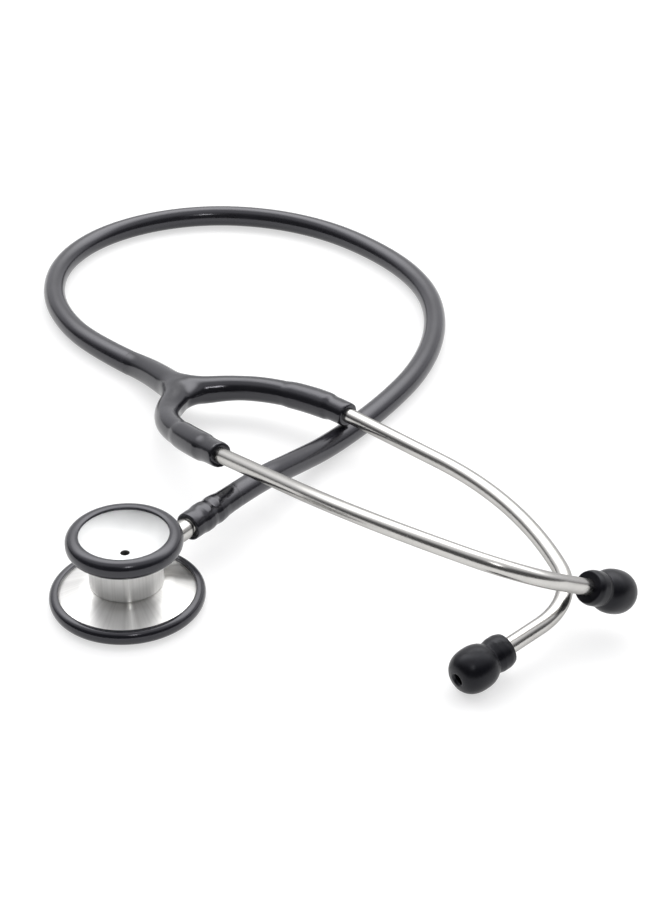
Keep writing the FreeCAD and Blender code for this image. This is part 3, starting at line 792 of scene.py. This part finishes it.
def buildYoke():
    bm = bmesh.new()
    crotch = Vector(yoke["crotch"])
    for side in ("left", "right"):
        s = headset[side]
        socket = Vector(s["socket"])
        run = earPlane(side).to_3x3() @ Vector((1, 0, 0)) * s["run"]
        limb = [Vector(corner) for corner in yoke["trunk"]] + [Vector(s["elbow"]), socket - run, socket]
        bm.from_mesh(skinnedLine(side + "Limb", limb, girthAt))
    web = [crotch + armWay["left"] * yoke["webReach"], crotch,
           crotch + armWay["right"] * yoke["webReach"]]
    bm.from_mesh(skinnedLine("web", web, lambda back: yoke["web"]))
    bmesh.ops.create_uvsphere(bm, u_segments=32, v_segments=16, radius=yoke["heart"] * mm,
                              matrix=Matrix.Translation(crotch * mm))
    bmesh.ops.remove_doubles(bm, verts=bm.verts[:], dist=2 * mergeReach)
    bmesh.ops.recalc_face_normals(bm, faces=bm.faces[:])
    piece = bpy.data.objects.new("yoke", meshFrom(bm, "yoke"))
    scene.collection.objects.link(piece)
    skin = piece.modifiers.new("oneSkin", "REMESH")
    skin.mode = "VOXEL"
    skin.voxel_size = yoke["grain"] * mm
    bm = bmesh.new()
    bm.from_mesh(finishedMesh(piece))
    bpy.data.objects.remove(piece)
    # The crotch is eased most, and less and less further out
    rounds = yoke["crotchEasing"]
    for step in range(rounds):
        reach = yoke["wholeReach"]
        if step >= yoke["easing"]:
            reach = yoke["crotchReach"] * (1 - yoke["narrowing"] * step / rounds)
        dots = [dot for dot in bm.verts if (dot.co - crotch * mm).length < reach * mm]
        bmesh.ops.smooth_vert(bm, verts=dots, factor=0.5,
                              use_axis_x=True, use_axis_y=True, use_axis_z=True)
    mesh = meshFrom(bm, "yoke")
    drills = []
    for side in ("left", "right"):
        ends = [earPlane(side) @ Vector((end * mm, 0, 0)) / mm for end in yoke["tubeHoleEnds"]]
        drills.append((*ends, yoke["tubeHole"]))
    return drillHoles(mesh, "yoke", drills)


def keepCornerNormals(mesh):
    normals = [value for corner in mesh.corner_normals for value in corner.vector]
    kept = mesh.attributes.new("keptNormal", "FLOAT_VECTOR", "CORNER")
    kept.data.foreach_set("vector", normals)


def useKeptNormals(mesh):
    kept = mesh.attributes["keptNormal"]
    normals = [tuple(corner.vector) for corner in kept.data]
    mesh.attributes.remove(kept)
    mesh.normals_split_custom_set(normals)


# Square to the plane that runs up the trunk and between the arms, and pointing away from each half
halvesNormal = (armWay["left"] - armWay["right"]).normalized()
awayFrom = {"left": -halvesNormal, "right": halvesNormal}


def halfOf(mesh, side):
    bm = bmesh.new()
    bm.from_mesh(mesh)
    crotch = Vector(yoke["crotch"]) * mm
    gone = [face for face in bm.faces
            if (face.calc_center_median() - crotch).dot(awayFrom[side]) > 0]
    bmesh.ops.delete(bm, geom=gone, context="FACES")
    half = bpy.data.meshes.new("yoke" + side.capitalize())
    bm.to_mesh(half)
    bm.free()
    return half


def joinHalf(piece):
    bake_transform(piece)


yokeMesh = buildYoke()
keepCornerNormals(yokeMesh)
for side in ("left", "right"):
    half = halfOf(yokeMesh, side)
    useKeptNormals(half)
    replaced = ["yoke_trunk", side + "_yoke_arm"]
    piece = newBody(half, "yoke" + side.capitalize(), "soft_grey", None, replaced, yokeVinyl)
    joinHalf(piece)
print("yoke moulded", len(yokeMesh.polygons))


# The leaf spring inside the yoke is split into halves the same way as the yoke, and cut across along
# each arm
leafSpring = {"cuts": 14, "firstCut": 2, "cutSpacing": 1.2}


def cutAcross(bm, spot, way, **settings):
    bmesh.ops.bisect_plane(bm, geom=bm.verts[:] + bm.edges[:] + bm.faces[:], dist=cutReach,
                           plane_co=spot, plane_no=way, **settings)


def buildLeafHalf(side):
    bm = bmesh.new()
    bm.from_mesh(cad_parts["leaf_spring"].data)
    bmesh.ops.remove_doubles(bm, verts=bm.verts[:], dist=mergeReach)
    crotch = Vector(yoke["crotch"]) * mm
    cutAcross(bm, crotch, awayFrom[side], clear_outer=True)
    for step in range(leafSpring["cuts"]):
        reach = leafSpring["firstCut"] + leafSpring["cutSpacing"] * step
        cutAcross(bm, crotch + armWay[side] * reach * mm, armWay[side])
    return meshFrom(bm, "leaf" + side.capitalize())


for side in ("left", "right"):
    piece = newBody(buildLeafHalf(side), "leaf" + side.capitalize(), "spring_steel", None,
                    ["leaf_spring"])
    joinHalf(piece)


# The hose, now that its finish is made
hoseCurve.materials.append(finishes["soft_grey"])
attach(soundTube, "tubing")
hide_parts("sound_tube")

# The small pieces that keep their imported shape
keptNodes = {
    "diaphragm": "membrane", "stem_seal": "soft_black", "detent_ball": "bright_steel",
    "detent_spring": "spring_steel", "detent_screw": "bright_steel",
    "left_spring_clip": "spring_steel", "right_spring_clip": "spring_steel",
}
for nodeName, slot in keptNodes.items():
    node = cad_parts[nodeName]
    if not node.material_slots:
        node.data.materials.append(finishes[slot])
    for holder in node.material_slots:
        holder.material = finishes[slot]
print("kept pieces finished")


# Table, lamps and surroundings
table = {"size": 4.0, "centre": (0.1, 0.05, -0.0003), "colour": (0.44, 0.44, 0.44), "lift": 0.62}
bm = bmesh.new()
bmesh.ops.create_grid(bm, x_segments=1, y_segments=1, size=table["size"] / 2,
                      matrix=Matrix.Translation(table["centre"]))
tableTop = bpy.data.objects.new("tableTop", meshFrom(bm, "tableTop"))
scene.collection.objects.link(tableTop)
paper = bpy.data.materials.new("tablePaper")
paper.use_nodes = True
tree = paper.node_tree
tree.nodes.clear()
output = addNode(tree, "ShaderNodeOutputMaterial", (700, 0))
matt = addNode(tree, "ShaderNodeBsdfDiffuse", (0, 100))
matt.inputs["Color"].default_value = (*table["colour"], 1)
lift = addNode(tree, "ShaderNodeEmission", (0, -100))
path = addNode(tree, "ShaderNodeLightPath", (-600, 0))
seen = addNode(tree, "ShaderNodeMath", (-400, 0), operation="MAXIMUM")
seenToo = addNode(tree, "ShaderNodeMath", (-200, 0), operation="MAXIMUM")
level = addNode(tree, "ShaderNodeMath", (-100, -200), operation="MULTIPLY")
level.inputs[1].default_value = table["lift"]
both = addNode(tree, "ShaderNodeAddShader", (300, 0))
tree.links.new(path.outputs["Is Camera Ray"], seen.inputs[0])
tree.links.new(path.outputs["Is Glossy Ray"], seen.inputs[1])
tree.links.new(seen.outputs["Value"], seenToo.inputs[0])
tree.links.new(path.outputs["Is Transmission Ray"], seenToo.inputs[1])
tree.links.new(seenToo.outputs["Value"], level.inputs[0])
tree.links.new(level.outputs["Value"], lift.inputs["Strength"])
tree.links.new(matt.outputs["BSDF"], both.inputs[0])
tree.links.new(lift.outputs["Emission"], both.inputs[1])
tree.links.new(both.outputs["Shader"], output.inputs["Surface"])
tableTop.data.materials.clear()
tableTop.data.materials.append(paper)

# A narrow box of light on the viewer's side draws the thin streaks on steel and vinyl
smallBox = {"position": (-0.472, -0.583, 1.0), "aim": (0.1, 0.03, 0), "size": (0.07, 0.22), "power": 1.0}
light = bpy.data.lights.new("smallBox", "AREA")
light.shape = "RECTANGLE"
light.size, light.size_y = smallBox["size"]
light.energy = smallBox["power"]
lamp = bpy.data.objects.new("smallBox", light)
lamp.location = smallBox["position"]
aim = Vector(smallBox["aim"]) - Vector(smallBox["position"])
lamp.rotation_euler = aim.to_track_quat("-Z", "Y").to_euler()
scene.collection.objects.link(lamp)

# The room: white overhead and behind, dark low down towards the viewer, and a broad glow high behind
surroundings = {
    "whiteWay": (0.653, 0.383, 1.0), "darkest": -0.8, "whitest": 1.23,
    "levels": [(0.0, 0.07), (0.46, 0.09), (0.57, 0.22), (0.69, 0.75), (0.78, 0.93), (1.0, 0.97)],
    "blueness": 1.03,
    "backWay": (0.848, 0.530, 0.0), "glow": 3.0, "glowHeight": (0.40, 0.78), "glowReach": (0.04, 0.46),
}
world = bpy.data.worlds.new("studio")
scene.world = world
world.use_nodes = True
tree = world.node_tree
tree.nodes.clear()
output = addNode(tree, "ShaderNodeOutputWorld", (900, 0))
way = addNode(tree, "ShaderNodeTexCoord", (-1200, 0))
facing = addNode(tree, "ShaderNodeVectorMath", (-1000, 100), operation="DOT_PRODUCT")
facing.inputs[1].default_value = surroundings["whiteWay"]
reach = addNode(tree, "ShaderNodeMapRange", (-750, 100))
reach.inputs["From Min"].default_value = surroundings["darkest"]
reach.inputs["From Max"].default_value = surroundings["whitest"]
belt = addNode(tree, "ShaderNodeValToRGB", (-500, 100))
belt.color_ramp.interpolation = "EASE"
for number, (position, level) in enumerate(surroundings["levels"]):
    stop = belt.color_ramp.elements[0] if number == 0 else belt.color_ramp.elements.new(position)
    stop.position = position
    stop.color = (level, level, level * surroundings["blueness"], 1)
belt.color_ramp.elements.remove(belt.color_ramp.elements[-1])
parts = addNode(tree, "ShaderNodeSeparateXYZ", (-1000, -100))
towards = addNode(tree, "ShaderNodeVectorMath", (-1000, -300), operation="DOT_PRODUCT")
towards.inputs[1].default_value = surroundings["backWay"]
glow = addNode(tree, "ShaderNodeMath", (-450, -200), operation="MULTIPLY")
for number, (source, (low, high), most) in enumerate((
        (parts.outputs["Z"], surroundings["glowHeight"], surroundings["glow"]),
        (towards.outputs["Value"], surroundings["glowReach"], 1))):
    part = addNode(tree, "ShaderNodeMapRange", (-750, -150 - 250 * number),
                   interpolation_type="SMOOTHSTEP")
    part.inputs["From Min"].default_value = low
    part.inputs["From Max"].default_value = high
    part.inputs["To Max"].default_value = most
    tree.links.new(source, part.inputs["Value"])
    tree.links.new(part.outputs["Result"], glow.inputs[number])
total = addNode(tree, "ShaderNodeVectorMath", (-200, 0), operation="ADD")
room = addNode(tree, "ShaderNodeBackground", (100, -100))
clear = addNode(tree, "ShaderNodeBackground", (100, 100))
clear.inputs["Color"].default_value = (1, 1, 1, 1)
path = addNode(tree, "ShaderNodeLightPath", (-200, 400))
seen = addNode(tree, "ShaderNodeMath", (100, 300), operation="MAXIMUM")
seenOrNot = addNode(tree, "ShaderNodeMixShader", (500, 0))
link = tree.links.new
link(way.outputs["Generated"], facing.inputs[0])
link(way.outputs["Generated"], parts.inputs["Vector"])
link(way.outputs["Generated"], towards.inputs[0])
link(facing.outputs["Value"], reach.inputs["Value"])
link(reach.outputs["Result"], belt.inputs["Fac"])
link(belt.outputs["Color"], total.inputs[0])
link(glow.outputs["Value"], total.inputs[1])
link(total.outputs["Vector"], room.inputs["Color"])
link(path.outputs["Is Camera Ray"], seen.inputs[0])
link(path.outputs["Is Transmission Ray"], seen.inputs[1])
link(seen.outputs["Value"], seenOrNot.inputs["Fac"])
link(room.outputs["Background"], seenOrNot.inputs[1])
link(clear.outputs["Background"], seenOrNot.inputs[2])
link(seenOrNot.outputs["Shader"], output.inputs["Surface"])
print("studio lit")
